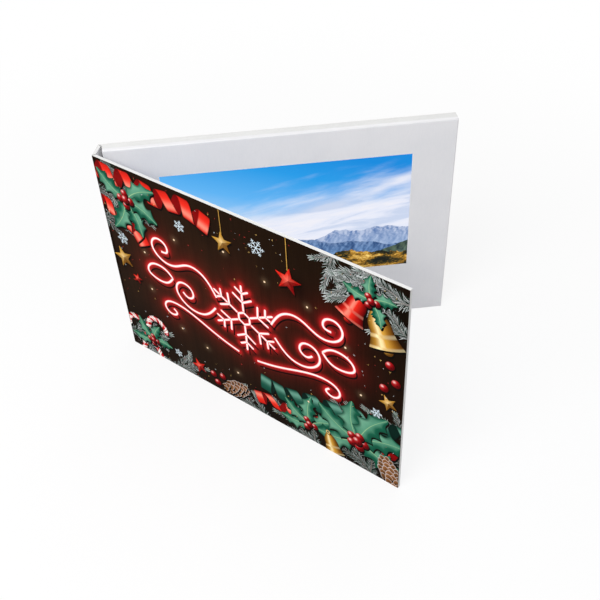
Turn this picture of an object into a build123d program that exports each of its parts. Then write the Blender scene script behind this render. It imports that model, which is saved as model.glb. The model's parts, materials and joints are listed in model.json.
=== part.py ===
from build123d import *
import os

# LCD video brochure: an A5 landscape case with a 7 inch screen, and a hard spine and
# front cover that fold round it on two upright paper creases. Millimetres, +Z up.
# Origin: middle of the case's bottom face, on the mid-plane of its outer depth.
# +X is to the right for someone who looks at the screen, and +Y is to the back.

# ---- screen --------------------------------------------------------------------------
active_width = 154.1
active_height = 85.9
window_lap = 0.4             # the window hides this much of the picture on each side
module_border_x = 5.4        # module beyond the picture, at each side
module_border_z = 7.05       # module beyond the picture, above and below
module_depth = 3.4
module_clearance = 0.3       # module to the edges of its openings
frame_steel = 0.3
frame_lip = 0.4              # frame opening beyond the picture, on each side
glass_thickness = 1.3
glass_clearance = 0.1

# ---- case: wrapped front board, tray, back board -------------------------------------
margin_left = 29.85          # side of the case to the window
margin_right = 26.85
margin_top = 20.85
paper = 0.25                 # every wrapping and lining sheet
front_board_thickness = 2.5
tray_wall = 4.0
tray_rib = 2.8               # between the pockets of the module and of the circuit
board = 1.5                  # stiff board in the back, the spine and the cover
pocket_radius = 1.5
front_edge_radius = 0.8      # soft edge of the wrapped front board

# ---- case wrap: spine and cover ------------------------------------------------------
spine_gap = 0.5              # closed spine to the side of the case
closed_gap = 2.2             # closed cover to the face of the case
cover_setback = 0.4          # cover's free edge, inside the case's right side
fold_clearance = 0.05        # sheet and board edges to the round of a crease
spine_angle = 14.1           # as it stands: spine, from its closed place
cover_angle = 43.1           # as it stands: cover, from the plane of the screen

# ---- circuit -------------------------------------------------------------------------
circuit_width = 108.4
circuit_height = 26.5
circuit_thickness = 1.0
circuit_corner = 1.0
circuit_room = 1.15          # back of the screen module to the front of the circuit
circuit_pad = 0.65           # foam pads between the circuit and the back board
circuit_clearance = 0.5      # circuit to the edges of its pocket
lead_room = 16.0             # pocket left of the circuit, where the leads turn
# processor and memory: gap to the connector's right end, then middle from the top,
# width, height, thickness
right_chips = (
    (7.9, 7.0, 9.0, 9.0, 1.2),
    (20.4, 4.0, 8.0, 6.0, 1.0),
)
# power parts: middle from the right end, middle from the lower edge, and sizes as above
power_chips = (
    (8.0, 4.0, 4.0, 4.0, 1.6),
    (20.0, 3.2, 5.0, 3.2, 0.9),
)
# amplifier, half way from the battery socket to the connector: middle from the top, sizes
amplifier = (5.0, 5.0, 4.0, 1.1)
small_chip = (2.0, 1.2, 0.8)
small_chip_z = 3.2           # above the lower edge of the circuit

# ---- ribbon --------------------------------------------------------------------------
flex_from_left = 44.0        # middle of the ribbon, from the left end of the circuit
flex_width = 40.0
flex_thickness = 0.2
flex_bond = 12.0             # length of the ribbon stuck to the back of the module
flex_bend = 1.5
connector_extra = 2.0        # connector beyond the ribbon, at each end
connector_depth = 0.6        # top of the circuit to the connector
connector_height = 4.5
connector_thickness = 1.2

# ---- keys ----------------------------------------------------------------------------
key_names = ("previous", "play", "next", "volume_down", "volume_up")
key_first = 7.0              # first key, from the left end of the circuit
key_pitch = 14.5
key_above = 12.0             # middle of the keys, above the lower edge of the circuit
key_radius = 3.4
key_proud = 0.5
key_travel = 0.4
key_side_gap = 0.15
key_flange_extra = 1.0
key_flange_thickness = 0.5
key_stop_gap = 0.05
key_seat_depth = 0.9         # groove for the flanges, in the back of the front board
key_chamfer = 0.25
switch_side = 4.6
switch_height = 1.5
switch_hole_depth = 1.1
switch_stem_radius = 1.0
switch_stem_gap = 0.2
switch_floor_gap = 0.1       # pressed stem to the floor of the switch

# ---- USB socket ----------------------------------------------------------------------
usb_above = 12.0             # middle of the socket, above the lower edge of the circuit
usb_width = 7.5
usb_height = 2.5
usb_length = 5.6
usb_corner = 0.9
usb_steel = 0.3
usb_setback = 0.2
usb_front_gap = 0.15         # shell to the back of the front board
usb_port_gap = 0.3
tongue_width = 5.2
tongue_thickness = 0.7
tongue_length = 3.2
tongue_setback = 0.8         # end of the tongue, inside the mouth

# ---- speaker -------------------------------------------------------------------------
speaker_side_wall = 7.7      # side of the case to the speaker's pocket
speaker_radius = 13.0
speaker_rim = 1.6
speaker_clearance = 0.3
speaker_back_gap = 0.3       # magnet to the back board
basket_steel = 0.5
cone_thickness = 0.25
cone_gap = 0.3
cone_depth = 1.3
magnet_radius = 7.0
magnet_thickness = 0.9
grille_hole = 1.0            # radius
grille_ring = 4.6            # radius of the ring of holes round the middle one
grille_ring_holes = 6

# ---- battery -------------------------------------------------------------------------
battery_left = 25.5          # middle of the pouch, left of the middle of the screen
battery_above = 7.4          # and above it
battery_width = 88.0
battery_height = 58.0
battery_gap = 0.3            # pouch to the back board
battery_corner = 2.5
battery_edge = 0.6           # bevel of the pouch's front and back edges
battery_tape = 0.2
battery_tape_width = 14.0
guard_width = 40.0
guard_height = 5.0
guard_thickness = 1.6

# ---- leads ---------------------------------------------------------------------------
lead_radius = 0.45
lead_pitch = 1.4
lead_lift = 0.1              # leads to the front of the circuit
battery_socket_from_left = 6.0  # its middle and the pair of leads, from the circuit's end
battery_socket_from_top = 1.0
speaker_socket_above = 6.0   # its middle, above the lower edge of the circuit
socket_length = 4.5          # along the leads
socket_width = 5.0
socket_front_gap = 0.15      # sockets to the back of the front board
speaker_lead_bend = 20.0
speaker_lead_end = 4.0       # straight end in front of its socket
speaker_lead_slope = 28.0    # stretch over which it comes down to its socket
lead_channel_height = 10.0
lead_channel_drop = 2.3      # middle of the channel, below the middle of the speaker

# ---- magnet switch -------------------------------------------------------------------
sensor_from_right = 14.4     # middle of the sensor, from the right end of the circuit
sensor_above = 12.5
sensor_width = 3.0
sensor_height = 4.0
sensor_thickness = 1.1
cover_magnet_radius = 5.0
cover_magnet_thickness = 1.0
cover_magnet_gap = 0.1

# ---- sizes, depths and places that follow --------------------------------------------
window_width = active_width - 2 * window_lap
window_height = active_height - 2 * window_lap
module_width = active_width + 2 * module_border_x
module_height = active_height + 2 * module_border_z

circuit_bottom = tray_wall + circuit_clearance
circuit_top = circuit_bottom + circuit_height
pocket_top = circuit_top + circuit_clearance
pocket_bottom = tray_wall
module_bottom = pocket_top + tray_rib + module_clearance
screen_z = module_bottom + module_height / 2

case_width = margin_left + window_width + margin_right
case_height = screen_z + window_height / 2 + margin_top
case_left = -case_width / 2
case_right = case_width / 2
screen_x = case_left + margin_left + window_width / 2

circuit_behind_face = paper + module_depth + circuit_room
tray_depth = (
    circuit_behind_face + circuit_thickness + circuit_pad - paper - front_board_thickness
)
case_depth = 2 * paper + front_board_thickness + tray_depth + board
face_y = -case_depth / 2
front_board_y = face_y + paper
tray_y = front_board_y + front_board_thickness
back_board_y = tray_y + tray_depth
back_sheet_y = back_board_y + board
back_y = back_sheet_y + paper

cover_thickness = 2 * paper + board
fold_radius = paper
fold_reach = fold_radius + fold_clearance
hinge_x = case_left - spine_gap - cover_thickness + fold_radius
back_hinge_y = back_y - fold_radius
front_hinge_y = face_y - closed_gap - cover_thickness + fold_radius
cover_inner_y = front_hinge_y - fold_radius + paper + board
spine_hinge = Axis((hinge_x, back_hinge_y, 0), (0, 0, -1))
cover_hinge = Axis((hinge_x, front_hinge_y, 0), (0, 0, -1))

module_back_y = front_board_y + module_depth
glass_y = front_board_y + frame_steel
backlight_y = glass_y + glass_thickness

pocket_right = case_right - tray_wall
circuit_right = pocket_right - circuit_clearance
circuit_left = circuit_right - circuit_width
circuit_x = (circuit_left + circuit_right) / 2
circuit_z = (circuit_bottom + circuit_top) / 2
pocket_left = circuit_left - lead_room
circuit_y = face_y + circuit_behind_face
circuit_back_y = circuit_y + circuit_thickness
flex_x = circuit_left + flex_from_left
connector_width = flex_width + 2 * connector_extra
connector_left = flex_x - connector_width / 2
connector_right = flex_x + connector_width / 2
sensor_x = circuit_right - sensor_from_right
sensor_z = circuit_bottom + sensor_above

key_z = circuit_bottom + key_above
key_places = [
    (circuit_left + key_first + index * key_pitch, key_z) for index in range(len(key_names))
]
key_hole_radius = key_radius + key_side_gap
key_flange_radius = key_radius + key_flange_extra
switch_y = circuit_y - switch_height

usb_z = circuit_bottom + usb_above
usb_mid_y = tray_y + usb_front_gap + usb_height / 2
usb_mouth_x = case_right - usb_setback
usb_back_x = usb_mouth_x - usb_length

speaker_x = case_left + speaker_side_wall + speaker_clearance + speaker_radius
speaker_z = tray_wall + speaker_clearance + speaker_radius
speaker_depth = tray_depth - magnet_thickness - speaker_back_gap

battery_x = screen_x - battery_left
battery_z = screen_z + battery_above
battery_y = module_back_y + battery_tape
battery_thickness = back_board_y - battery_gap - battery_y
guard_bottom = battery_z - battery_height / 2 - guard_height

battery_lead_x = circuit_left + battery_socket_from_left
battery_socket_top = circuit_top - battery_socket_from_top
speaker_socket_z = circuit_bottom + speaker_socket_above
lead_channel_z = speaker_z - lead_channel_drop
socket_front_y = tray_y + socket_front_gap
lead_y = circuit_y - lead_lift - lead_radius

base = (Align.CENTER, Align.CENTER, Align.MIN)


# ---- helpers -------------------------------------------------------------------------
def front_plane(depth):
    """Plane that faces the viewer at the given depth: its x is +X and its y is +Z."""
    return Plane(origin=(0, depth, 0), x_dir=(1, 0, 0), z_dir=(0, -1, 0))


def layer(outline, front, back):
    """Flat piece with an X-Z outline, from one depth to a depth further back."""
    return extrude(front_plane(back) * outline, back - front)


def standing(*corners):
    """Upright piece with a plan section, as tall as the case."""
    return extrude(make_face(Polyline(*corners, close=True)), case_height)


def turned(profile, x, z, depth):
    """Body turned about an axis along Y. Profile points are (radius, distance in front)."""
    body = revolve(Plane.XZ * make_face(Polyline(*profile, close=True)), Axis.Z)
    return front_plane(depth) * Pos(x, z, 0) * body


def open_spine(piece):
    """Turn a piece of the closed spine to where it stands."""
    return piece.rotate(spine_hinge, spine_angle)


def open_cover(piece):
    """Turn a piece of the closed cover to where it stands."""
    return open_spine(piece.rotate(cover_hinge, cover_angle - spine_angle))


# ---- case ----------------------------------------------------------------------------
def case_outline(inset):
    """Outline of the case, brought in by an inset."""
    outline = Rectangle(case_width - 2 * inset, case_height - 2 * inset)
    return Pos(0, case_height / 2) * outline


def front_block(inset, front, edge_radius):
    """Block of the wrapped front board with its soft front edge."""
    block = layer(case_outline(inset), front, tray_y)
    return fillet(block.faces().sort_by(Axis.Y)[0].edges(), edge_radius)


def key_holes(front, back):
    """Round holes for the keys between two depths."""
    circles = [Pos(x, z) * Circle(key_hole_radius) for x, z in key_places]
    return [layer(circle, front, back) for circle in circles]


def key_groove():
    """Groove that lets in the flanges of all the keys."""
    seat_radius = key_flange_radius + key_side_gap
    first_x = key_places[0][0]
    last_x = key_places[-1][0]
    outline = Rectangle(last_x - first_x + 2 * seat_radius, 2 * seat_radius)
    return layer(Pos((first_x + last_x) / 2, key_z) * outline, tray_y - key_seat_depth, tray_y)


def grille_holes():
    """A small round hole in front of the middle of the speaker and a ring of them round it."""
    hole = Circle(grille_hole)
    ring = [spot * hole for spot in PolarLocations(grille_ring, grille_ring_holes)]
    return layer(Pos(speaker_x, speaker_z) * (hole + ring), face_y, front_board_y)


def module_outline(clearance):
    """Outline of the screen module, made larger by a clearance."""
    width = module_width + 2 * clearance
    height = module_height + 2 * clearance
    return Pos(screen_x, screen_z) * Rectangle(width, height)


def face_sheet():
    """White paper over the front board, turned down its four sides, with the window."""
    sheet = front_block(0, face_y, front_edge_radius)
    sheet -= front_block(paper, front_board_y, front_edge_radius - paper)
    window = Pos(screen_x, screen_z) * Rectangle(window_width, window_height)
    sheet -= layer(window, face_y, front_board_y)
    sheet -= key_holes(face_y, front_board_y)
    return sheet - grille_holes()


def front_board():
    """Board under the face, open for the module, the keys and the speaker."""
    block = front_block(paper, front_board_y, front_edge_radius - paper)
    block -= layer(module_outline(module_clearance), front_board_y, tray_y)
    block -= key_holes(front_board_y, tray_y)
    block -= key_groove()
    sound = Pos(speaker_x, speaker_z) * Circle(speaker_radius - speaker_rim)
    return block - layer(sound, front_board_y, tray_y)


def tray_pockets():
    """Die-cut pockets of the tray and the gate for the leads and the ribbon."""
    module = module_outline(module_clearance)
    width = pocket_right - pocket_left
    height = pocket_top - pocket_bottom
    spot = Pos((pocket_left + pocket_right) / 2, circuit_z)
    circuit = spot * RectangleRounded(width, height, pocket_radius)
    speaker = Pos(speaker_x, speaker_z) * Circle(speaker_radius + speaker_clearance)
    channel_width = pocket_left + pocket_radius - speaker_x
    channel = Pos(speaker_x + channel_width / 2, lead_channel_z) * Rectangle(
        channel_width, lead_channel_height
    )
    gate_z = pocket_top + tray_rib / 2
    gate_left = battery_lead_x - 2 * lead_pitch
    gate_right = connector_right
    gate = Pos((gate_left + gate_right) / 2, gate_z) * Rectangle(
        gate_right - gate_left, tray_rib + 2 * pocket_radius
    )
    return module + circuit + speaker + channel + gate


def tray_frame():
    """Frame between the boards, with a pocket for each thing it holds."""
    frame = layer(case_outline(0) - tray_pockets(), tray_y, back_board_y)
    port_width = usb_width + 2 * usb_port_gap
    port_depth = usb_front_gap + usb_height + usb_port_gap
    port = Box(2 * tray_wall, port_depth, port_width, align=(Align.CENTER, Align.MIN, Align.CENTER))
    return frame - Pos(case_right, tray_y, usb_z) * port


def back_board():
    """Board behind the tray. Its left end is mitred at the crease."""
    return standing(
        (hinge_x + fold_reach + back_sheet_y - back_board_y, back_board_y),
        (case_right, back_board_y),
        (case_right, back_sheet_y),
        (hinge_x + fold_reach, back_sheet_y),
    )


def back_sheet():
    """Outer paper on the back board."""
    return standing(
        (hinge_x + fold_reach, back_sheet_y),
        (case_right, back_sheet_y),
        (case_right, back_y),
        (hinge_x + fold_reach, back_y),
    )


# ---- spine and cover, drawn closed and turned to where they stand --------------------
def spine_part(outer, inner):
    """Strip of the spine between two depths from its outside, mitred at both creases."""
    outer_x = hinge_x - fold_radius + outer
    inner_x = hinge_x - fold_radius + inner
    outer_cut = fold_reach + max(0, outer - fold_radius)
    inner_cut = fold_reach + max(0, inner - fold_radius)
    strip = standing(
        (outer_x, back_hinge_y - outer_cut),
        (outer_x, front_hinge_y + outer_cut),
        (inner_x, front_hinge_y + inner_cut),
        (inner_x, back_hinge_y - inner_cut),
    )
    return open_spine(strip)


def cover_part(outer, inner):
    """Panel of the closed cover between two depths from its outside."""
    outer_y = front_hinge_y - fold_radius + outer
    inner_y = front_hinge_y - fold_radius + inner
    outer_cut = fold_reach + max(0, outer - fold_radius)
    inner_cut = fold_reach + max(0, inner - fold_radius)
    free_edge = case_right - cover_setback
    return standing(
        (hinge_x + outer_cut, outer_y),
        (free_edge, outer_y),
        (free_edge, inner_y),
        (hinge_x + inner_cut, inner_y),
    )


def spine_sheet():
    return spine_part(0, paper)


def spine_board():
    return spine_part(paper, paper + board)


def spine_lining():
    return spine_part(paper + board, cover_thickness)


def cover_sheet():
    return open_cover(cover_part(0, paper))


def cover_board():
    """Cover board, with a blind pocket for the magnet in its inner face."""
    panel = cover_part(paper, paper + board)
    pocket = Pos(sensor_x, sensor_z) * Circle(cover_magnet_radius + cover_magnet_gap)
    pocket_floor = cover_inner_y - cover_magnet_thickness - cover_magnet_gap
    return open_cover(panel - layer(pocket, pocket_floor, cover_inner_y))


def cover_lining():
    return open_cover(cover_part(paper + board, cover_thickness))


def cover_magnet():
    """Disc magnet, flush with the inner face of the cover board."""
    disc = Pos(sensor_x, sensor_z) * Circle(cover_magnet_radius)
    return open_cover(layer(disc, cover_inner_y - cover_magnet_thickness, cover_inner_y))


def back_crease():
    """Round of the folded paper between the back and the spine."""
    return Pos(hinge_x, back_hinge_y) * Cylinder(fold_radius, case_height, align=base)


def front_crease():
    """Round of the folded paper between the spine and the cover."""
    round_fold = Pos(hinge_x, front_hinge_y) * Cylinder(fold_radius, case_height, align=base)
    return open_spine(round_fold)


# ---- screen module -------------------------------------------------------------------
def flex_slot(front, back, top):
    """Opening for the ribbon at the module's lower edge."""
    height = top - module_bottom
    slot = Pos(flex_x, module_bottom + height / 2) * Rectangle(flex_width + 2, height)
    return layer(slot, front, back)


def lcd_frame():
    """Pressed steel frame: a front lip and four thin sides."""
    frame = layer(module_outline(0), front_board_y, module_back_y)
    frame -= layer(module_outline(-frame_steel), glass_y, module_back_y)
    opening = Rectangle(active_width + 2 * frame_lip, active_height + 2 * frame_lip)
    frame -= layer(Pos(screen_x, screen_z) * opening, front_board_y, glass_y)
    return frame - flex_slot(backlight_y, module_back_y, module_bottom + frame_steel)


def lcd_glass():
    return layer(module_outline(-frame_steel - glass_clearance), glass_y, backlight_y)


def lcd_backlight():
    """Light guide and reflector, with a step at the back where the ribbon is stuck."""
    block = layer(module_outline(-frame_steel - glass_clearance), backlight_y, module_back_y)
    step_top = module_bottom + flex_bond
    return block - flex_slot(module_back_y - flex_thickness, module_back_y, step_top)


def lcd_flex():
    """Ribbon from the back of the module, stepped down to its connector."""
    module_side = module_back_y - flex_thickness / 2
    circuit_side = circuit_y - flex_thickness / 2
    points = (
        (flex_x, module_side, module_bottom + flex_bond),
        (flex_x, module_side, module_bottom),
        (flex_x, circuit_side, pocket_top),
        (flex_x, circuit_side, circuit_top - connector_depth),
    )
    path = FilletPolyline(*points, radius=flex_bend)
    start = Plane(origin=path @ 0, x_dir=(1, 0, 0), z_dir=path % 0)
    return sweep(start * Rectangle(flex_width, flex_thickness), path=path)


def flex_connector():
    """Slim connector that grips the end of the ribbon on the circuit."""
    middle_z = circuit_top - connector_depth - connector_height / 2
    body = Pos(flex_x, middle_z) * Rectangle(connector_width, connector_height)
    return layer(body, circuit_y - connector_thickness, circuit_y)


# ---- circuit -------------------------------------------------------------------------
def main_board():
    """Circuit with its corners rounded and a notch that takes the USB socket."""
    outline = RectangleRounded(circuit_width, circuit_height, circuit_corner)
    outline = Pos(circuit_x, circuit_z) * outline
    notch_depth = circuit_right - usb_back_x + usb_port_gap
    notch_width = usb_width + 2 * usb_port_gap
    notch = Pos(circuit_right - notch_depth / 2, usb_z) * Rectangle(notch_depth, notch_width)
    return layer(outline - notch, circuit_y, circuit_back_y)


def circuit_pads():
    """Foam pads that hold the circuit to the back board."""
    pad = Rectangle(circuit_width / 6, 0.8 * circuit_height)
    spots = [Pos(circuit_x + step * circuit_width / 3, circuit_z) for step in (-1, 0, 1)]
    return layer(Sketch() + [spot * pad for spot in spots], circuit_back_y, back_board_y)


def chip(x, z, width, height, thickness):
    """Flat package on the front of the circuit."""
    return layer(Pos(x, z) * Rectangle(width, height), circuit_y - thickness, circuit_y)


def board_chips():
    """Processor, memory, amplifier, power parts, a crystal and a small part by each key."""
    from_top, *size = amplifier
    socket_right = battery_lead_x + socket_width / 2
    chips = [chip((socket_right + connector_left) / 2, circuit_top - from_top, *size)]
    for gap, from_top, width, *size in right_chips:
        chips.append(chip(connector_right + gap + width / 2, circuit_top - from_top, width, *size))
    for from_right, above, *size in power_chips:
        chips.append(chip(circuit_right - from_right, circuit_bottom + above, *size))
    for x, _ in key_places:
        chips.append(chip(x + key_pitch / 2, circuit_bottom + small_chip_z, *small_chip))
    return Compound(chips)


def hall_sensor():
    """Magnet sensor that wakes the screen when the cover's magnet leaves it."""
    return chip(sensor_x, sensor_z, sensor_width, sensor_height, sensor_thickness)


def key_switches():
    """Tact switch housings, each with a well for the stem of its key."""
    body = Rectangle(switch_side, switch_side)
    well_side = 2 * (switch_stem_radius + switch_stem_gap)
    well = Rectangle(well_side, well_side)
    housings = []
    for x, z in key_places:
        housing = layer(Pos(x, z) * body, switch_y, circuit_y)
        housings.append(housing - layer(Pos(x, z) * well, switch_y, switch_y + switch_hole_depth))
    return Compound(housings)


def key(x, z):
    """Round key: bevelled cap, flange behind the front board and stem into its switch."""
    flange_front = front_board_thickness + paper - key_seat_depth + key_stop_gap
    flange_back = flange_front + key_flange_thickness
    floor = circuit_y - switch_height + switch_hole_depth - face_y
    stem_end = floor - switch_floor_gap - key_travel
    profile = (
        (0, key_proud),
        (key_radius - key_chamfer, key_proud),
        (key_radius, key_proud - key_chamfer),
        (key_radius, -flange_front),
        (key_flange_radius, -flange_front),
        (key_flange_radius, -flange_back),
        (switch_stem_radius, -flange_back),
        (switch_stem_radius, -stem_end),
        (0, -stem_end),
    )
    return turned(profile, x, z, face_y)


# ---- USB socket ----------------------------------------------------------------------
def usb_section(inset, x):
    """Cross-section of the socket, facing right."""
    plane = Plane(origin=(x, usb_mid_y, usb_z), x_dir=(0, 1, 0), z_dir=(1, 0, 0))
    height = usb_height - 2 * inset
    width = usb_width - 2 * inset
    return plane * RectangleRounded(height, width, usb_corner - inset)


def usb_socket():
    """Folded steel shell with a closed back."""
    shell = extrude(usb_section(0, usb_back_x), usb_length)
    return shell - extrude(usb_section(usb_steel, usb_back_x + usb_steel), usb_length)


def usb_tongue():
    """Plastic carrier at the back of the shell and the contact tongue."""
    carrier_length = usb_length - usb_steel - tongue_length - tongue_setback
    carrier = extrude(usb_section(usb_steel, usb_back_x + usb_steel), carrier_length)
    root_x = usb_back_x + usb_steel + carrier_length
    plane = Plane(origin=(root_x, usb_mid_y, usb_z), x_dir=(0, 1, 0), z_dir=(1, 0, 0))
    return carrier + extrude(plane * Rectangle(tongue_thickness, tongue_width), tongue_length)


# ---- battery -------------------------------------------------------------------------
def battery_cell():
    """Soft pouch with rounded corners and bevelled edges."""
    outline = RectangleRounded(battery_width, battery_height, battery_corner)
    outline = Pos(battery_x, battery_z) * outline
    pouch = layer(outline, battery_y, battery_y + battery_thickness)
    rims = pouch.faces().sort_by(Axis.Y)
    return chamfer(rims[0].edges() + rims[-1].edges(), battery_edge)


def battery_tapes():
    """Two strips of double-sided tape between the module and the pouch."""
    strip = Rectangle(battery_tape_width, battery_height - 2 * battery_corner)
    offset = battery_width / 2 - battery_tape_width
    spots = [Pos(battery_x + side * offset, battery_z) for side in (-1, 1)]
    return layer(Sketch() + [spot * strip for spot in spots], module_back_y, battery_y)


def battery_guard():
    """Protection circuit in tape along the lower edge of the pouch."""
    middle_z = guard_bottom + guard_height / 2
    outline = Pos(battery_lead_x, middle_z) * Rectangle(guard_width, guard_height)
    return layer(outline, battery_y, battery_y + guard_thickness)


# ---- leads ---------------------------------------------------------------------------
def lead_sockets():
    """Battery socket at the top of the circuit and speaker socket at its left end."""
    upright = Rectangle(socket_width, socket_length)
    upright = Pos(battery_lead_x, battery_socket_top - socket_length / 2) * upright
    level = Rectangle(socket_length, socket_width)
    level = Pos(circuit_left + socket_length / 2, speaker_socket_z) * level
    return layer(upright + level, socket_front_y, circuit_y)


def battery_lead(side):
    """Lead straight down from the battery, through the gate of the tray, into its socket."""
    lead = Cylinder(lead_radius, guard_bottom - battery_socket_top, align=base)
    return Pos(battery_lead_x - side * lead_pitch / 2, lead_y, battery_socket_top) * lead


def speaker_lead():
    """Flat twin lead from the speaker along the channel to its socket."""
    end_x = circuit_left - speaker_lead_end
    points = (
        (speaker_x + speaker_radius, lead_y, lead_channel_z),
        (end_x - speaker_lead_slope, lead_y, lead_channel_z),
        (end_x, lead_y, speaker_socket_z),
        (circuit_left, lead_y, speaker_socket_z),
    )
    path = FilletPolyline(*points, radius=speaker_lead_bend)
    start = Plane(origin=path @ 0, x_dir=(0, 1, 0), z_dir=path % 0)
    return sweep(start * Rectangle(2 * lead_radius, lead_pitch + 2 * lead_radius), path=path)


# ---- speaker -------------------------------------------------------------------------
def speaker_basket():
    """Pressed steel basket: rim, straight wall and closed back."""
    rim_inner = speaker_radius - speaker_rim
    rim_back = cone_thickness + basket_steel
    profile = (
        (rim_inner, -cone_thickness),
        (speaker_radius, -cone_thickness),
        (speaker_radius, -rim_back),
        (rim_inner + basket_steel, -rim_back),
        (rim_inner + basket_steel, -speaker_depth),
        (0, -speaker_depth),
        (0, basket_steel - speaker_depth),
        (rim_inner, basket_steel - speaker_depth),
    )
    return turned(profile, speaker_x, speaker_z, tray_y)


def speaker_cone():
    """Film cone of a thin speaker: flat edge on the rim and a flat pan inside it."""
    edge = speaker_radius - cone_gap
    roll = speaker_radius - speaker_rim - cone_gap
    profile = (
        (0, -cone_depth),
        (roll - cone_thickness, -cone_depth),
        (roll - cone_thickness, 0),
        (edge, 0),
        (edge, -cone_thickness),
        (roll, -cone_thickness),
        (roll, -cone_depth - cone_thickness),
        (0, -cone_depth - cone_thickness),
    )
    return turned(profile, speaker_x, speaker_z, tray_y)


def speaker_magnet():
    """Disc magnet on the back of the basket."""
    disc = Pos(speaker_x, speaker_z) * Circle(magnet_radius)
    back = tray_y + speaker_depth
    return layer(disc, back, back + magnet_thickness)


# ---- write one file per piece --------------------------------------------------------
def all_parts():
    """Every piece of the brochure by name."""
    parts = {
        "face_sheet": face_sheet(),
        "front_board": front_board(),
        "tray_frame": tray_frame(),
        "back_board": back_board(),
        "back_sheet": back_sheet(),
        "back_crease": back_crease(),
        "spine_sheet": spine_sheet(),
        "spine_board": spine_board(),
        "spine_lining": spine_lining(),
        "front_crease": front_crease(),
        "cover_sheet": cover_sheet(),
        "cover_board": cover_board(),
        "cover_lining": cover_lining(),
        "cover_magnet": cover_magnet(),
        "lcd_frame": lcd_frame(),
        "lcd_glass": lcd_glass(),
        "lcd_backlight": lcd_backlight(),
        "lcd_flex": lcd_flex(),
        "flex_connector": flex_connector(),
        "main_board": main_board(),
        "circuit_pads": circuit_pads(),
        "board_chips": board_chips(),
        "hall_sensor": hall_sensor(),
        "key_switches": key_switches(),
        "usb_socket": usb_socket(),
        "usb_tongue": usb_tongue(),
        "battery_cell": battery_cell(),
        "battery_tapes": battery_tapes(),
        "battery_guard": battery_guard(),
        "battery_lead_red": battery_lead(1),
        "battery_lead_black": battery_lead(-1),
        "lead_sockets": lead_sockets(),
        "speaker_basket": speaker_basket(),
        "speaker_cone": speaker_cone(),
        "speaker_magnet": speaker_magnet(),
        "speaker_lead": speaker_lead(),
    }
    for name, place in zip(key_names, key_places):
        parts["button_" + name] = key(*place)
    return parts


os.makedirs("parts", exist_ok=True)
for node, solid in all_parts().items():
    export_step(solid, os.path.join("parts", node + ".step"))
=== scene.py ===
import json
import random
from math import atan2, cos, dist, exp, pi, radians, sin, sqrt

import bmesh
import bpy
from mathutils import Matrix, Vector, kdtree


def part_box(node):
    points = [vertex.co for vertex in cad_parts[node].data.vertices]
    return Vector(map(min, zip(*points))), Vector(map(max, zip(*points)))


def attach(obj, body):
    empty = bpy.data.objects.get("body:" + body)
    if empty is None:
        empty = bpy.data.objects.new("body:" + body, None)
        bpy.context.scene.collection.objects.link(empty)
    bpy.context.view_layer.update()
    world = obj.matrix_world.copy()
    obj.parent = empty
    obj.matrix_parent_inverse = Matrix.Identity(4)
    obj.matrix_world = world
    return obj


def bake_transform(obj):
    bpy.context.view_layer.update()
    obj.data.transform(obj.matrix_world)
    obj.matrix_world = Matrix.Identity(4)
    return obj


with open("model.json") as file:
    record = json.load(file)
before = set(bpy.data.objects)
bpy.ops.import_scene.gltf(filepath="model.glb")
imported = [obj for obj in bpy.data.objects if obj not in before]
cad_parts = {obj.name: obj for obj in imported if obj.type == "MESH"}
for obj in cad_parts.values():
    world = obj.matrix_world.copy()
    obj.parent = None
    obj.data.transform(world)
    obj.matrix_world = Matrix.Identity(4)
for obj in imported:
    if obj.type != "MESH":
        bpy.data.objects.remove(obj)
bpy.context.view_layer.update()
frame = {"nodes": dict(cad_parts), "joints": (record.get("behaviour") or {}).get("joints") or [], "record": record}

# LCD video brochure: the looks of its papers, boards, screen and inner parts, the print
# on its cover, the folded paper over its creases and the signs on its keys.
# Drawing sizes are millimetres. Points of the scene are metres.
mm = 0.001

# ---- sizes that follow the frame ----
joints = {joint["name"]: joint for joint in frame["joints"]}
spine_angle = -joints["spine_fold"]["range_deg"][0]
cover_angle = spine_angle - joints["cover_fold"]["range_deg"][0]
back_crease = Vector((*joints["spine_fold"]["pos_m"][:2], 0)) / mm
front_crease = Vector((*joints["cover_fold"]["pos_m"][:2], 0)) / mm
paper = 0.25  # sheets of the wrap, and the radius of its creases
case_right, _, case_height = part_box("tray_frame")[1] / mm
cover_setback = 0.4  # the cover ends this far inside the case's side
cover_width = case_right - cover_setback - back_crease.x
print_gap = 0.012  # a print lies this far off its paper
layer_step = 0.0008  # each shape of a print over the one before it


# ---- colours ----
def srgb(red, green, blue):
    """Linear colour of an sRGB colour from 0 to 255."""
    shares = [channel / 255 for channel in (red, green, blue)]
    return [c / 12.92 if c <= 0.04045 else ((c + 0.055) / 1.055) ** 2.4 for c in shares] + [1]


def grey(level):
    """Linear grey."""
    return [level, level, level, 1]


def scaled(color, share):
    """Colour made darker or lighter."""
    return [min(1, channel * share) for channel in color[:3]] + [1]


def glowing(color, light, heat):
    """Colour with some light added."""
    return [channel + heat * part for channel, part in zip(color[:3], light)] + [1]


def blend(first, second, share):
    """Colour or place between two others."""
    return [a + (b - a) * share for a, b in zip(first, second)]


def ramp(stops, place):
    """Colour at a place from 0 to 1 along a list of (place, colour)."""
    if place <= stops[0][0]:
        return stops[0][1]
    for (low, first), (high, second) in zip(stops, stops[1:]):
        if place <= high:
            return blend(first, second, (place - low) / (high - low))
    return stops[-1][1]


# ---- materials ----
even_scale = (1, 1, 1)  # stretch of a pattern along X, Y and Z


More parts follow.
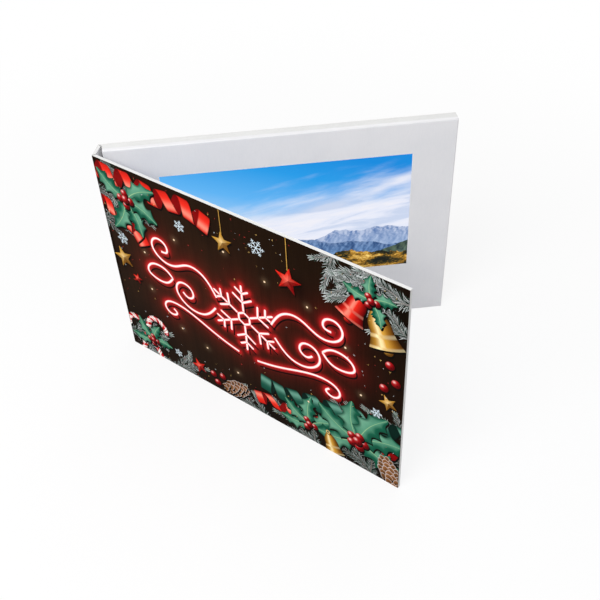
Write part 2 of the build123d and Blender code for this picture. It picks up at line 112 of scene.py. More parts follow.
class Nodes:
    """A node tree, and helpers that add nodes to it."""

    def __init__(self, tree):
        self.tree = tree

    def node(self, kind, inputs=None, **settings):
        node = self.tree.nodes.new("ShaderNode" + kind)
        for name, value in settings.items():
            setattr(node, name, value)
        for name, value in (inputs or {}).items():
            self.feed(node.inputs[name], value)
        return node

    def feed(self, socket, value):
        """Give a socket another socket or a constant."""
        if isinstance(value, bpy.types.NodeSocket):
            self.tree.links.new(value, socket)
        else:
            socket.default_value = value

    def calc(self, operation, first, second=0, third=0):
        return self.node("Math", {0: first, 1: second, 2: third}, operation=operation).outputs[0]

    def plus(self, value, share, base):
        """A share of a value on top of a base."""
        return self.calc("MULTIPLY_ADD", value, share, base)

    def average(self, first, second, share):
        """Mean of two values, where share is the weight of the first."""
        return self.plus(first, share, self.calc("MULTIPLY", second, 1 - share))

    def mix(self, share, first, second, mode="MIX"):
        inputs = {0: share, 6: first, 7: second}
        return self.node("Mix", inputs, data_type="RGBA", blend_type=mode).outputs[2]

    def ramp(self, share, stops, mode="LINEAR"):
        node = self.node("ValToRGB", {0: share})
        node.color_ramp.interpolation = mode
        while len(node.color_ramp.elements) < len(stops):
            node.color_ramp.elements.new(0.5)
        for element, (place, color) in zip(node.color_ramp.elements, stops):
            element.position = place
            element.color = color
        return node.outputs[0]

    def place(self, scale=even_scale, turn=(0, 0, 0)):
        """Coordinates of the part in millimetres, turned and then stretched."""
        coordinates = self.node("TexCoord").outputs["Object"]
        rotated = self.node("Mapping", {"Vector": coordinates, "Rotation": turn}).outputs[0]
        stretch = [axis / mm for axis in scale]
        return self.node("Mapping", {"Vector": rotated, "Scale": stretch}).outputs[0]

    def noise(self, place, scale, detail=3, roughness=0.5, distortion=0):
        return self.node("TexNoise", {"Vector": place, "Scale": scale, "Detail": detail,
                                      "Roughness": roughness, "Distortion": distortion}).outputs["Fac"]


class Look(Nodes):
    """A material with one shader."""

    def __init__(self, name, **settings):
        self.name = name
        self.material = bpy.data.materials.new(name)
        self.material.use_nodes = True
        super().__init__(self.material.node_tree)
        self.shader = self.tree.nodes["Principled BSDF"]
        for socket, value in settings.items():
            self.feed(self.shader.inputs[socket.replace("_", " ")], value)

    def color(self, value):
        self.feed(self.shader.inputs["Base Color"], value)

    def roughness(self, pattern, share, base):
        self.feed(self.shader.inputs["Roughness"], self.plus(pattern, share, base))

    def bump(self, height, depth_mm, strength=1):
        inputs = {"Height": height, "Distance": depth_mm * mm, "Strength": strength}
        self.feed(self.shader.inputs["Normal"], self.node("Bump", inputs).outputs[0])


def stock(name, fine, stops, gloss, depth, broad=None, share=0.5, relief=None, **settings):
    """Uneven look from noises, each given as the stretch of its place and its values.

    The fine one sets the gloss and the relief, unless that has its own. The broad one has a
    share of the colour.
    """
    look = Look(name, **settings)
    grain = look.noise(look.place(fine[0]), *fine[1:])
    pattern = grain
    if broad:
        pattern = look.average(look.noise(look.place(broad[0]), *broad[1:]), grain, share)
    look.color(look.ramp(pattern, stops))
    look.roughness(grain, *gloss)
    if depth:
        look.bump(look.noise(look.place(relief[0]), *relief[1:]) if relief else grain, depth)
    return look


def mottled(name, color, uneven, grain, rough, depth=0.01, **settings):
    """Plain stock with an uneven colour, an uneven gloss and a fine grain."""
    stops = [(0.35, scaled(color, 1 - uneven)), (0.65, scaled(color, 1 + uneven))]
    return stock(name, (even_scale, grain, 3, 0.6), stops, (0.16, rough - 0.08), depth,
                 (even_scale, 0.05, 4), **settings)


def brushed(name, color, rough, scale):
    """Metal with fine lines along one axis."""
    stops = [(0.3, scaled(color, 0.82)), (0.7, color)]
    return stock(name, (scale, 1, 4, 0.6), stops, (0.2, rough - 0.1), 0.004, Metallic=1)


ground_left = srgb(36, 22, 11)
ground_right = srgb(26, 14, 5)
white_core = srgb(226, 224, 221)
shadow_ink = srgb(12, 8, 6)
film_index = 1.06  # the matt film hardly mirrors
upward = Vector((0, 0, 1))


def heading(degrees):
    """Direction in the plan, turned from +X towards -Y."""
    angle = radians(degrees)
    return Vector((cos(angle), -sin(angle), 0))


back_out = Vector((0, 1, 0))
spine_out = heading(180 + spine_angle)
cover_out = heading(cover_angle).cross(upward)


def streaks(look):
    """Fine upright streaks of the dark print, as a factor round 1."""
    place = look.place((1, 0.06, 0.03), (0, 0, radians(cover_angle)))
    streak = look.noise(place, 1.6, 5, 0.65)
    broad = look.noise(place, 0.22, 2)
    return look.ramp(look.average(broad, streak, 0.45), [(0.3, grey(0.75)), (0.7, grey(1.27))])


def speckle(look):
    """Fine speckle of the printed motifs, as a factor round 1."""
    grain = look.noise(look.place(), 3.5, 4, 0.7)
    return look.ramp(grain, [(0.3, grey(0.9)), (0.7, grey(1.08))])


def film(look):
    """Matt film over a print: an even low gloss with the paper's grain under it."""
    grain = look.noise(look.place(), 1.4, 4, 0.6)
    look.roughness(grain, 0.12, 0.4)
    look.bump(grain, 0.012)


def wrap_look():
    """Sheet of the wrap: dark print on its outer side, white paper at its cut edges."""
    look = Look("printed_paper", IOR=film_index)
    printed = look.mix(1, ground_left, streaks(look), "MULTIPLY")
    normal = look.node("TexCoord").outputs["Normal"]
    facing = -1
    for outward in (back_out, spine_out, cover_out):
        aligned = look.node("VectorMath", {0: normal, 1: outward}, operation="DOT_PRODUCT")
        facing = look.calc("MAXIMUM", aligned.outputs["Value"], facing)
    look.color(look.mix(look.calc("GREATER_THAN", facing, 0.5), white_core, printed))
    film(look)
    return look


def inks_material(name, pattern):
    """Inks of a printed piece, held as its mesh colours, times a pattern, under film."""
    look = Look(name, IOR=film_index)
    inks = look.node("VertexColor", layer_name="ink").outputs[0]
    look.color(look.mix(1, inks, pattern(look), "MULTIPLY"))
    film(look)
    return look.material


def circuit_look():
    """Green solder mask over copper tracks."""
    look = Look("circuit", IOR=1.5, Coat_Weight=0.4, Coat_Roughness=0.15)
    place = look.place((0.55, 1, 0.9))
    tracks = look.node("TexVoronoi", {"Vector": place, "Scale": 0.9, "Randomness": 0.35},
                       feature="DISTANCE_TO_EDGE").outputs["Distance"]
    stops = [(0, srgb(44, 122, 74)), (0.09, srgb(44, 122, 74)), (0.12, srgb(18, 78, 44))]
    look.color(look.ramp(tracks, stops))
    look.roughness(look.noise(place, 2), 0.2, 0.25)
    look.bump(tracks, 0.02, 0.6)
    return look


# a look for each material slot of the record
looks = {look.name: look.material for look in (
    wrap_look(), circuit_look(),
    # smooth art paper with faint fibres, and cut board whose plies show as fine lines
    stock("white_paper", ((1, 1, 0.22), 1.1, 5, 0.62, 0.6),
          [(0.3, srgb(225, 225, 228)), (0.7, srgb(233, 232, 234))], (0.14, 0.42), 0.012,
          (even_scale, 0.035, 3), 0.6, (even_scale, 2.2, 4, 0.6), IOR=1.45),
    stock("white_board", ((0.35, 3.2, 0.35), 1, 4, 0.65),
          [(0.3, srgb(212, 212, 211)), (0.5, srgb(224, 224, 223)), (0.72, srgb(230, 230, 229))],
          (0.2, 0.55), 0.03, ((0.05, 0.05, 0.05), 1, 2), 0.25, IOR=1.4),
    # front glass of the display, and foil of the battery pouch with soft creases
    stock("black_glass", (even_scale, 0.03, 3), [(0.3, srgb(10, 11, 14)), (0.7, srgb(16, 17, 21))],
          (0.08, 0.06), 0, IOR=1.5, Coat_Weight=0.6, Coat_Roughness=0.03),
    stock("pouch_foil", ((0.12, 0.12, 0.12), 1, 5, 0.55, 1.2),
          [(0.3, srgb(178, 182, 190)), (0.7, srgb(214, 216, 221))], (0.25, 0.22), 0.15,
          Metallic=0.85),
    brushed("frame_steel", srgb(176, 177, 180), 0.38, (0.05, 1, 2.5)),
    brushed("plated_steel", srgb(190, 190, 190), 0.32, (0.4, 2.5, 2.5)),
    brushed("magnet", srgb(196, 197, 200), 0.2, (1.5, 1.5, 1.5)),
    mottled("reflector", srgb(228, 228, 226), 0.03, 1, 0.45),
    mottled("ribbon", srgb(176, 104, 30), 0.12, 0.8, 0.3, Coat_Weight=0.3),
    mottled("foam", srgb(46, 46, 49), 0.3, 3, 0.9, 0.08),
    mottled("chip_black", srgb(33, 33, 36), 0.15, 4, 0.55),
    mottled("key_white", srgb(236, 236, 236), 0.02, 5, 0.42, IOR=1.5),
    mottled("key_black", srgb(32, 32, 34), 0.15, 5, 0.45),
    mottled("tape_amber", srgb(206, 146, 46), 0.1, 0.7, 0.28, Coat_Weight=0.4),
    mottled("lead_red", srgb(186, 26, 22), 0.1, 2, 0.42),
    mottled("lead_black", srgb(28, 28, 29), 0.2, 2, 0.45),
    mottled("socket_white", srgb(226, 222, 208), 0.03, 2.5, 0.5),
    mottled("cone_paper", srgb(40, 39, 40), 0.25, 1.2, 0.7, 0.04))}
motif_inks = inks_material("printed_inks", speckle)
ground_inks = inks_material("printed_ground", streaks)
for subpart in frame["record"]["subparts"]:
    node = frame["nodes"][subpart["node"]]
    node.data.materials.clear()
    node.data.materials.append(looks[subpart["material_slot"]])


# ---- faces that carry a print ----
def add_object(name, data):
    """New object of the scene for a mesh, a lamp or a camera."""
    thing = bpy.data.objects.new(name, data)
    bpy.context.scene.collection.objects.link(thing)
    return thing


class Face:
    """An upright flat face: where it starts, its direction across, and outward from it."""

    def __init__(self, origin, across):
        self.origin = Vector(origin)
        self.across = Vector(across)
        self.out = self.across.cross(upward)

    def at(self, u, v, height=0):
        """Point of the scene above a place on the face."""
        return (self.origin + self.across * u + upward * v + self.out * height) * mm


def spread(low, high, count):
    """Values from low to high in a number of even steps."""
    return [low + (high - low) * i / count for i in range(count + 1)]


def quads(rows, columns, first=0):
    """Polygons of a grid of points that are numbered along its rows."""
    corners = [first + i * columns + j for i in range(rows - 1) for j in range(columns - 1)]
    return [(c, c + 1, c + columns + 1, c + columns) for c in corners]


class Drawing:
    """Coloured shapes on a face, each over the last, that become one thin piece."""

    def __init__(self, face, lift=2 * print_gap, levels=260, drop=None):
        self.face = face
        self.lift = lift
        self.levels = levels
        self.drop = drop
        self.shapes = 0
        self.spots = []
        self.colors = []
        self.polygons = []

    def net(self, shares, sides, spot, raised=True):
        """Surface of the places and colours that spot(share, side) gives."""
        cells = [[spot(share, side) for side in sides] for share in shares]
        rows, colors = [[[cell[part] for cell in row] for row in cells] for part in (0, 1)]
        self.surface(rows, colors, raised)

    def plain(self, rows, color):
        """Surface of one colour."""
        self.surface(rows, [[color] * len(row) for row in rows])

    def surface(self, rows, colors, raised=True):
        """Patch from rows of (u, v) points and a colour for each point, over its drop shadow."""
        if raised:
            self.shadow(rows)
        self.patch(rows, colors)

    def shadow(self, rows):
        if self.drop:
            across, up = self.drop
            moved = [[(u + across, v + up) for u, v in row] for row in rows]
            self.patch(moved, [[shadow_ink] * len(row) for row in rows])

    def patch(self, rows, colors):
        height = self.lift + layer_step * (self.shapes % self.levels)
        self.shapes += 1
        self.polygons += quads(len(rows), len(rows[0]), len(self.spots))
        for row, tints in zip(rows, colors):
            self.spots += [(u, v, height) for u, v in row]
            self.colors += tints

    def piece(self, name, body, material, slot, window=None):
        """Turn the drawing into a piece that rides on a body, cut to a window of its face."""
        mesh = bpy.data.meshes.new(name)
        mesh.from_pydata([self.face.at(*spot) for spot in self.spots], [], self.polygons)
        tint = mesh.color_attributes.new("ink", "FLOAT_COLOR", "POINT")
        tint.data.foreach_set("color", [channel for color in self.colors for channel in color])
        shape = bmesh.new()
        shape.from_mesh(mesh)
        if window:
            self.cut(shape, window)
        for polygon in shape.faces:
            if polygon.normal.dot(self.face.out) < 0:
                polygon.normal_flip()
        thin = [polygon for polygon in shape.faces if polygon.calc_area() < 1e-12]
        bmesh.ops.delete(shape, geom=thin, context="FACES")
        self.unwrap(shape)
        shape.to_mesh(mesh)
        shape.free()
        mesh.materials.append(material)
        thing = add_object(name, mesh)
        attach(thing, body)

    def cut(self, shape, window):
        """Remove what lies outside (left, bottom, right, top) on the face."""
        left, bottom, right, top = window
        sides = ((left, 0, -self.face.across), (right, 0, self.face.across),
                 (0, bottom, -upward), (0, top, upward))
        for u, v, outward in sides:
            everything = shape.verts[:] + shape.edges[:] + shape.faces[:]
            bmesh.ops.bisect_plane(shape, geom=everything, plane_co=self.face.at(u, v),
                                   plane_no=outward, clear_outer=True)

    def unwrap(self, shape):
        """Map the piece as it lies on the face, to fill its own texture."""
        layer = shape.loops.layers.uv.new("OFBake")
        across = [vertex.co.dot(self.face.across) for vertex in shape.verts]
        up = [vertex.co.z for vertex in shape.verts]
        left, bottom = min(across), min(up)
        width, height = max(across) - left, max(up) - bottom
        for polygon in shape.faces:
            for loop in polygon.loops:
                place = loop.vert.co
                u = (place.dot(self.face.across) - left) / width
                loop[layer].uv = (u, (place.z - bottom) / height)


# ---- outlines and paths, as lists of (u, v) ----
def turned(place, origin, angle):
    """Place turned about (0, 0) by an angle in radians, then moved to an origin."""
    x, y = place
    cosine, sine = cos(angle), sin(angle)
    return (origin[0] + x * cosine - y * sine, origin[1] + x * sine + y * cosine)


def smooth(points):
    """Cubic B-spline that the given points pull, from the first of them to the last."""
    pulls = [points[0]] * 2 + list(points) + [points[-1]] * 2
    curve = []
    for spans in zip(pulls, pulls[1:], pulls[2:], pulls[3:]):
        for t in spread(0, 1, 12)[:-1]:
            shares = ((1 - t) ** 3, 3 * t**3 - 6 * t**2 + 4, 3 * t + 3 * t**2 - 3 * t**3 + 1, t**3)
            curve.append(tuple(sum(s * p for s, p in zip(shares, axis)) / 6 for axis in zip(*spans)))
    return curve + [points[-1]]


def even(path, step=0.8):
    """The same path with points an even step apart."""
    points = [path[0]]
    for start, end in zip(path, path[1:]):
        count = max(1, round(dist(start, end) / step))
        points += [tuple(blend(start, end, share)) for share in spread(0, 1, count)[1:]]
    return points


def direction(path, index):
    """Unit direction of a path at one of its points."""
    before = path[max(0, index - 1)]
    after = path[min(len(path) - 1, index + 1)]
    length = dist(before, after) or 1
    return ((after[0] - before[0]) / length, (after[1] - before[1]) / length)


def along(path, t):
    """Place and direction at a share of a path."""
    index = min(len(path) - 2, int(t * (len(path) - 1)))
    share = t * (len(path) - 1) - index
    ends = direction(path, index), direction(path, index + 1)
    return blend(path[index], path[index + 1], share), blend(*ends, share)


def ribbon(drawing, path, half_width, tint, columns, raised=True):
    """Strip along a path, with half_width(t) and tint(t, side). t is 0 to 1, side is -1 to 1."""
    last = len(path) - 1

    def spot(index, side):
        du, dv = direction(path, index)
        reach = half_width(index / last) * side
        return (path[index][0] - dv * reach, path[index][1] + du * reach), tint(index / last, side)
    drawing.net(range(last + 1), spread(-1, 1, columns - 1), spot, raised)


def line(drawing, path, half_width, color, columns=2):
    """Strip of one width and one colour."""
    ribbon(drawing, path, lambda t: half_width, lambda t, side: color, columns)


def disc(drawing, center, radius, tint, rings=4, columns=20, raised=True):
    """Round spot. tint(x, y) takes a place inside the unit circle."""
    def spot(share, turn):
        x, y = share * cos(turn), share * sin(turn)
        return (center[0] + radius * x, center[1] + radius * y), tint(x, y)
    drawing.net(spread(0, 1, rings), spread(0, 2 * pi, columns), spot, raised)


def lit_ball(dark, body, light):
    """Shading of a shiny ball that is lit from the upper left."""
    def tint(x, y):
        gloss = exp(-((x + 0.38) ** 2 + (y - 0.4) ** 2) / 0.07)
        shade = min(1, max(0, 0.5 + 0.45 * (y - x) - 0.35 * (x * x + y * y)))
        return blend(blend(dark, body, shade), light, gloss)
    return tint


# ---- motifs ----
pine_dark = srgb(6, 20, 15)
pine_green = srgb(30, 70, 52)
frost = srgb(244, 248, 248)
bark = srgb(86, 58, 42)


def needle(drawing, start, angle, length, width, root, tip):
    """One needle, widest in its middle."""
    profile = {0: 0.5, 0.35: 1, 0.75: 0.75, 1: 0.08}

    def spot(share, side):
        place = turned((length * share, side * width * profile[share] / 2), start, angle)
        return place, blend(blend(root, tip, share**1.9), tip, 0.15 + 0.15 * side)
    drawing.net(profile, (-1, 1), spot)


def twig(drawing, start, angle, length, size, cold, rng):
    """Fir twig: dark needles, the curved stem on them, and thin frosted needles on top."""
    bend = rng.uniform(-0.35, 0.35)
    steps = max(6, int(length / 1.1))
    path = [start]
    for share in spread(0, 1, steps)[:-1]:
        path.append(turned((length / steps, 0), path[-1], angle + bend * share))
    stem = blend(bark, frost, 0.25 * cold)
    base = drawing.lift
    for layer in (0, 1):
        drawing.lift = base + 3 * print_gap * layer
        for share, place in zip(spread(0, 1, steps), path):
            for side in (-1, 1):
                lean = side * radians(rng.uniform(26, 62)) * (1 - 0.45 * share)
                reach = size * rng.uniform(0.7, 1.05) * (1 - 0.3 * share) * (1 - 0.12 * layer)
                snow = min(1, cold * rng.uniform(0.5, 1.4)) * (0.06 + 0.94 * layer)
                root = blend(pine_dark, pine_green, rng.random() * (0.25 + 0.35 * layer))
                tip = blend(blend(pine_dark, pine_green, rng.random()), frost, snow)
                way = angle + bend * share + lean
                needle(drawing, place, way, reach, 0.52 - 0.14 * layer, root, tip)
        if layer == 0:
            ribbon(drawing, path, lambda t: 0.55 - 0.3 * t, lambda t, side: stem, 3)
    tip = blend(srgb(110, 150, 124), frost, cold)
    for lean in (-0.3, 0, 0.3):
        needle(drawing, path[-1], angle + bend + lean, size * 0.8, 0.6, pine_green, tip)
    drawing.lift = base


def branch(drawing, start, angle, length, size, cold, rng):
    """Fir branch: a main twig over shorter twigs that leave it on both sides."""
    count = max(2, int(length / 9))
    for index in range(count):
        share = 0.12 + 0.62 * index / count
        place = turned((length * share, 0), start, angle)
        lean = (-1, 1)[index % 2] * radians(rng.uniform(32, 48))
        twig(drawing, place, angle + lean, length * (0.55 - 0.4 * share), size * 0.9, cold, rng)
    twig(drawing, start, angle, length, size, cold, rng)


def holly_leaf(drawing, start, angle, length, width, tone):
    """Holly leaf with pointed lobes, a pale midrib and a glossy half."""
    deep, mid, shine = srgb(6, 44, 34), srgb(30, 112, 84), srgb(148, 208, 176)
    shaded, lit = blend(deep, mid, 0.35 * tone), blend(deep, mid, 0.9 * tone)
    tints = {-1: shaded, -0.55: blend(shaded, mid, 0.4), 0: blend(mid, shine, 0.3), 0.55: lit,
             1: blend(deep, mid, 0.2)}

    def at(t, across):
        """Place across the leaf's arched middle line."""
        return turned((length * t, 0.08 * length * sin(pi * t) + across), start, angle)

    def spot(t, side):
        spike = abs((t * 4) % 1 - 0.5) * 2
        reach = width / 2 * sin(pi * min(1, t * 0.96 + 0.04)) ** 0.75 * (0.55 + 0.45 * spike**1.8)
        gloss = 0.5 * exp(-((t - 0.5) / 0.25) ** 2) if side == 0.55 else 0
        return at(t, side * reach), blend(tints[side], shine, gloss)
    drawing.net(spread(0, 1, 32), tints, spot)
    rib = [at(t, 0) for t in spread(0, 1, 12)]
    ribbon(drawing, rib, lambda t: 0.28 * (1 - 0.8 * t), lambda t, side: srgb(150, 190, 140), 3, False)


def leaves(drawing, center, turns, length, width):
    """Holly leaves that spread from one place, one for each direction."""
    for index, angle in enumerate(turns):
        size = length * (0.88 + 0.12 * (index % 2))
        holly_leaf(drawing, center, angle, size, width, 0.7 + 0.25 * (index % 2))


def berry(drawing, center, radius):
    """Red berry with a dark eye."""
    disc(drawing, center, radius, lit_ball(srgb(84, 4, 8), srgb(206, 22, 28), srgb(255, 214, 208)))
    eye = (center[0] + radius * 0.25, center[1] - radius * 0.3)
    disc(drawing, eye, radius * 0.13, lambda x, y: srgb(48, 6, 8), 1, 8, False)


def berries(drawing, center, count, radius):
    """A ring of berries and one in its middle."""
    for way in spread(0, 2 * pi, count)[:-1]:
        berry(drawing, turned((radius * 1.55, 0), center, way), radius)
    berry(drawing, center, radius * 1.05)


shine_at, body_at, shade_at = 0.36, 0.5, 0.85  # places across a satin


def satin(*colors):
    """Colours across a shiny surface, from its lit rim over the bright line to its dark rim."""
    return list(zip((0, 0.22, shine_at, body_at, 0.78, 1), [srgb(*color) for color in colors]))


gold = satin((92, 56, 12), (196, 142, 52), (255, 240, 186), (214, 160, 62), (138, 88, 22), (70, 40, 10))
crimson = satin((96, 6, 6), (216, 30, 22), (255, 150, 128), (232, 42, 28), (150, 12, 12), (64, 2, 4))
spruce = satin((4, 26, 22), (16, 66, 54), (112, 168, 148), (22, 80, 64), (8, 40, 32), (2, 16, 14))


def star(drawing, center, radius, stops, turn):
    """Folded five-pointed star: each ray has a lit and a shaded facet."""
    facets = []
    for ray in range(5):
        for side in (-1, 1):
            way = turn + pi / 2 + ray * 2 * pi / 5
            tip = turned((radius, 0), center, way)
            notch = turned((radius * 0.42, 0), center, way + side * pi / 5)
            light = 0.5 + 0.5 * cos(way + side * 0.5 - 2.3)
            face = blend(ramp(stops, 0.9), ramp(stops, body_at), light)
            edge = blend(face, ramp(stops, shine_at), 0.55 * light)
            shaded = blend(face, ramp(stops, 0.9), 0.4)
            crease, rim = blend(tip, center, 0.5), blend(notch, tip, 0.5)
            facets.append(([[center, notch], [crease, rim], [tip, tip]],
                           [[edge, face], [face, shaded], [edge, face]]))
    for rows, _ in facets:
        drawing.shadow(rows)
    for rows, tints in facets:
        drawing.patch(rows, tints)


def bell(drawing, center, size, stops, lean):
    """Bell: a flared body with a band, a rim, a clapper and a small loop."""
    light = ramp(stops, shine_at)
    clapper = turned((0, -size * 0.56), center, lean)
    disc(drawing, clapper, size * 0.13, lit_ball(ramp(stops, 0.95), ramp(stops, body_at), light))

    def spot(t, side):
        shoulder = 0.2 * sin(min(1, t * 2.2) * pi / 2)
        reach = size * (0.1 + shoulder + 0.51 * max(0, t - 0.55) ** 1.4)
        height = size * (0.5 - t) - size * 0.05 * (1 - side * side) * t
        band = 0.62 < t < 0.7 or t > 0.94
        shade = ramp(stops, 0.5 + 0.5 * side + 0.1 * band)
        return turned((side * reach, height), center, lean), blend(shade, light, 0.3 * band)
    drawing.net(spread(0, 1, 22), spread(-1, 1, 12), spot)
    loop = [turned((size * 0.07 * cos(a), size * (0.55 + 0.07 * sin(a))), center, lean)
            for a in spread(0, 2 * pi, 16)]
    line(drawing, loop, size * 0.018, ramp(stops, 0.45), 3)


def curl(drawing, pulls, radius, width, turns, stops):
    """Curled ribbon: a coil round a curved axis, its far halves under its near ones."""
    axis = even(smooth(pulls))
    for half in [*range(1, 2 * turns, 2), *range(0, 2 * turns, 2)]:
        def spot(share, side):
            t = (half + share) / (2 * turns)
            (u, v), (du, dv) = along(axis, t)
            taper = min(1, 0.3 + 5 * (1 - t))
            swing = radius * taper * cos(pi * (half + share))
            reach = width / 2 * taper * side
            arch = sin(pi * share)
            if half % 2:
                color = blend(ramp(stops, 1), ramp(stops, shade_at), arch)
            else:
                near = blend(ramp(stops, shade_at), ramp(stops, body_at), arch**0.7)
                color = blend(near, ramp(stops, shine_at), 0.8 * exp(-((share - 0.36) / 0.13) ** 2))
            hem = 0.5 if abs(side) == 1 else 0
            place = (u - dv * swing + du * reach, v + du * swing + dv * reach)
            return place, blend(color, ramp(stops, 0.9), hem)
        drawing.net(spread(0, 1, 14), (-1, -0.8, 0.8, 1), spot)


cane_radius = 2.2
cane_edges = (0, 3, 4.2, 4.8, 6.4)  # where the stripes that repeat along a cane start and end
cane_colors = (srgb(204, 20, 28), srgb(248, 244, 238)) * 2


def candy_cane(drawing, foot, height, hook, angle, side):
    """Candy cane: a straight stick and a half-round hook with slanted stripes."""
    length = height + pi * hook

    def at(place, across):
        """Place on the cane, for a length along it and a share of its radius to the right."""
        way = min(length, max(0, place + 1.5 * across))
        reach = cane_radius * across * min(1, 0.45 + 0.8 * way, 0.45 + 0.8 * (length - way))
        if way < height:
            return turned((reach, way), foot, angle)
        bend = (way - height) / hook
        radius = hook - side * reach
        return turned((side * (hook - radius * cos(bend)), height + radius * sin(bend)), foot, angle)

    def spot(stripe, across):
        place, color = stripe
        shade = 1 - 0.6 * max(0, 0.35 * across + 0.65 * across * across)
        gloss = 0.6 * exp(-((across + 0.4) / 0.16) ** 2)
        return at(place, across), blend(scaled(color, shade), grey(1), gloss)
    pitch = cane_edges[-1]
    stripes = [(turn * pitch + place, color) for turn in range(int(length / pitch) + 1)
               for start, end, color in zip(cane_edges, cane_edges[1:], cane_colors)
               for place in spread(start, end, 2)]
    drawn = [stripe for stripe in stripes if stripe[0] <= length + 1.5]
    drawing.net(drawn, spread(-1, 1, 10), spot)


def pine_cone(drawing, center, length, angle):
    """Pine cone: rows of rounded scales from the tip to the stalk, with frosted edges."""
    for layer, share in enumerate(spread(0, 1, 7)):
        bulge = sin(pi * (0.1 + 0.76 * share))
        reach = 0.27 * length * bulge**0.7
        size = length * (0.085 + 0.06 * bulge)
        count = max(1, round(1.5 * reach / size)) + layer % 2
        places = [(2 * index + 1) / count - 1 for index in range(count)]
        for across in sorted(places, key=abs, reverse=True):
            root = (length * (0.46 - 0.9 * share), across * reach)
            wood = blend(srgb(40, 23, 13), srgb(158, 104, 62), 0.25 + 0.65 * (1 - across * across))
            tones = {0.2: blend(wood, shadow_ink, 0.85), 0.55: blend(wood, shadow_ink, 0.35),
                     0.85: wood, 1: blend(wood, frost, 0.6)}

            def spot(keep, way):
                rim = size * (1 + 0.16 * cos(way) ** 8) * keep
                across_rim = rim * 0.9 * (1 - 0.3 * abs(across)) * sin(way)
                place = (size * (keep - 1) * 0.5 + rim * cos(way), across_rim)
                return turned(turned(place, root, 0.6 * across), center, angle), tones[keep]
            drawing.net(tones, spread(radians(-105), radians(105), 10), spot)


def snowflake(drawing, center, radius, turn):
    """Six thin arms, each with two pairs of barbs."""
    color = srgb(206, 220, 228)
    for arm in range(6):
        way = turn + arm * pi / 3
        line(drawing, [center, turned((radius, 0), center, way)], 0.25, color)
        for share, reach in ((0.45, 0.32), (0.72, 0.22)):
            place = turned((radius * share, 0), center, way)
            for side in (-1, 1):
                end = turned((radius * reach, 0), place, way + side * pi / 3)
                line(drawing, [place, end], 0.21, color)


def pin(drawing, center):
    """Light pin, yellow at its rim."""
    bulb, rim = srgb(255, 244, 220), srgb(214, 160, 96)
    disc(drawing, center, 0.75, lambda x, y: blend(bulb, rim, x * x + y * y), 2, 10)


def spark(drawing, center, radius, color):
    """Small four-pointed light."""
    for way in (0, pi / 2, pi, 3 * pi / 2):
        tip = turned((radius, 0), center, way)
        near, far = [turned((radius * 0.16, 0), center, way + turn) for turn in (pi / 4, -pi / 4)]
        drawing.plain([[center, far], [near, tip]], color)


# ---- layout of the cover's print ----
middle = (106, 76)  # middle of the neon sign
flake_radius = 25
glow_near, glow_far = 2.4, 6.5  # reach of the two parts of its glow
glow_red = srgb(190, 20, 30)
crease_margin = 0.4  # the prints start this far from the crease
edge_margin = 0.12  # and end this far inside the other edges
cover = Face(front_crease + cover_out * paper, heading(cover_angle))
cover_window = (crease_margin, edge_margin, cover_width - edge_margin, case_height - edge_margin)


def neon_paths():
    """Tubes of the neon sign: a six-armed flake and mirrored scrolls, with no lettering."""
    paths = []
    for arm in range(6):
        way = pi / 6 + arm * pi / 3
        paths.append([turned((reach, 0), middle, way) for reach in (5, 12, flake_radius)])
        for share, reach in ((0.48, 8.5), (0.74, 6)):
            corner = turned((flake_radius * share, 0), middle, way)
            for side in (-1, 1):
                tip = turned((reach, 0), corner, way + side * pi / 3.2)
                paths.append([corner, tuple(blend(corner, tip, 0.5)), tip])
    paths.append([turned((4.6, 0), middle, way) for way in spread(pi / 6, 13 * pi / 6, 6)])
    upper = [(20, 6), (27, 19), (40, 23), (52, 13), (64, 15), (70, 24), (65, 32), (56, 30), (55, 22),
             (61, 22)]
    lower = [(22, -3), (31, -15), (46, -15), (55, -5), (51, 5), (41, 5), (38, -3), (44, -7), (48, -3)]
    swash = [(7, -30), (21, -27), (36, -21), (50, -16), (63, -16), (68, -23), (62, -29), (55, -25),
             (59, -22)]
    leaf = [(55, 4), (60, 10), (72, 10), (78, 1), (70, -3), (60, -3), (55, 4)]
    for scroll in (upper, lower, swash, leaf):
        for side in (-1, 1):
            paths.append(smooth([(middle[0] + side * x, middle[1] + y) for x, y in scroll]))
    return paths


tubes = neon_paths()
# soft shadows under the motifs: middle, radius, depth
shadow_spots = [((20, 128), 34, 0.7), ((198, 132), 30, 0.6), ((20, 18), 36, 0.7), ((180, 20), 44, 0.75),
                ((120, 8), 26, 0.6), ((8, 76), 18, 0.5), ((146, 118), 12, 0.5), ((84, 128), 10, 0.4)]
# light pins round the sign
pins = [(30, 91), (58, 112), (96, 120), (152, 108), (176, 92), (186, 62), (150, 34), (96, 26), (52, 40),
        (30, 62), (124, 112), (72, 34)]


def falloff(u, v, place, square):
    """Bell curve round a place, for the square of its reach."""
    return exp(-((u - place[0]) ** 2 + (v - place[1]) ** 2) / square)


def ground_tint(u, v, tree):
    """Colour of the dark ground, with shadows, the red glow and the halos of the pins."""
    color = blend(ground_left, ground_right, min(1, max(0, u / cover_width)))
    lamp = exp(-(((u - 70) / 90) ** 2 + ((v - 84) / 62) ** 2))
    color = scaled(color, 0.8 + 0.45 * lamp)
    for place, radius, depth in shadow_spots:
        color = scaled(color, 1 - depth * falloff(u, v, place, (0.6 * radius) ** 2))
    _, _, distance = tree.find((u, v, 0))
    heat = 0.85 * exp(-(distance / glow_near) ** 2) + 0.17 * exp(-distance / glow_far)
    color = glowing(color, glow_red, heat)
    for place in pins:
        color = glowing(color, (1, 0.7, 0.4), 0.05 * falloff(u, v, place, 6))
    return color


